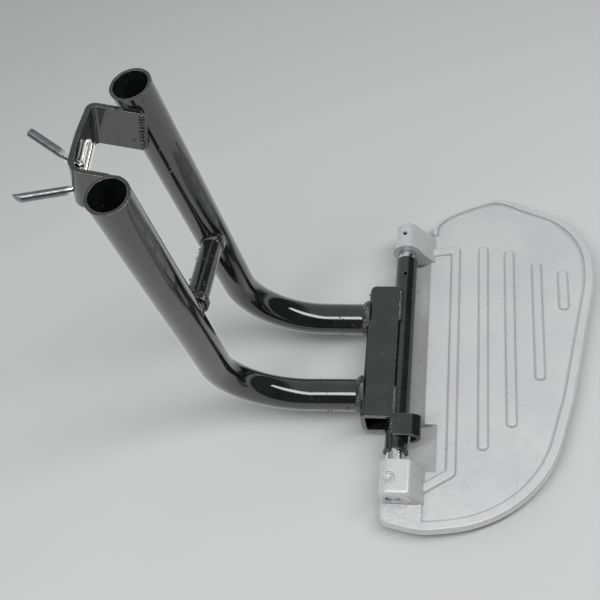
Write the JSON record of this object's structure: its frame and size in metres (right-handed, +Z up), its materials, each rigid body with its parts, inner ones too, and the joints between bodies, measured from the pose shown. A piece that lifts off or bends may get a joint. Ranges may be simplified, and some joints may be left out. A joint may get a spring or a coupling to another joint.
{
  "type": "scooter footrest",
  "caption": "Fold-up footboard on a barrel hinge, carried by two bent tubes with a cross brace and a strap that clamps round a frame tube.",
  "frame": {"origin": "middle of the strap's U, where the frame tube's centre line passes, 20 mm in front of the inner face of its back", "axes": "+X outboard, from the strap toward the outer edge of the footboard; +Y to the rear; +Z up; the hinge axis is parallel to Y"},
  "size_m": [0.2943, 0.2549, 0.2512],
  "materials": {
    "black_paint": "gloss black enamel over welded steel",
    "weld_paint": "gloss black enamel over weld beads",
    "silver_paint": "satin silver-grey coat over cast aluminium",
    "zinc": "bright zinc plate",
    "pin_steel": "worn bright steel",
    "screw_steel": "dull zinc plate"
  },
  "bodies": {
    "bracket": {"rear_arm_tube": "black_paint", "front_arm_tube": "black_paint", "cross_brace": "black_paint", "mounting_strap": "black_paint", "split_pin": "pin_steel", "hinge_channel": "black_paint", "hinge_barrel": "black_paint", "stop_hook": "black_paint", "rear_foot_weld": "weld_paint", "front_foot_weld": "weld_paint", "brace_weld_rear": "weld_paint", "brace_weld_front": "weld_paint", "strap_weld_rear": "weld_paint", "strap_weld_front": "weld_paint", "seam_weld_front": "weld_paint", "seam_weld_rear": "weld_paint", "lower_weld_front": "weld_paint", "lower_weld_rear": "weld_paint", "hook_weld": "weld_paint"},
    "board": {"footboard": "silver_paint", "hinge_pin": "zinc", "set_screw": "screw_steel"}
  },
  "joints": [
    {"name": "board_fold", "type": "hinge", "parent": "bracket", "child": "board", "pos_m": [0.11638, 0.0169, -0.2087], "axis": [0, -1, 0], "range_deg": [0, 99]}
  ]
}
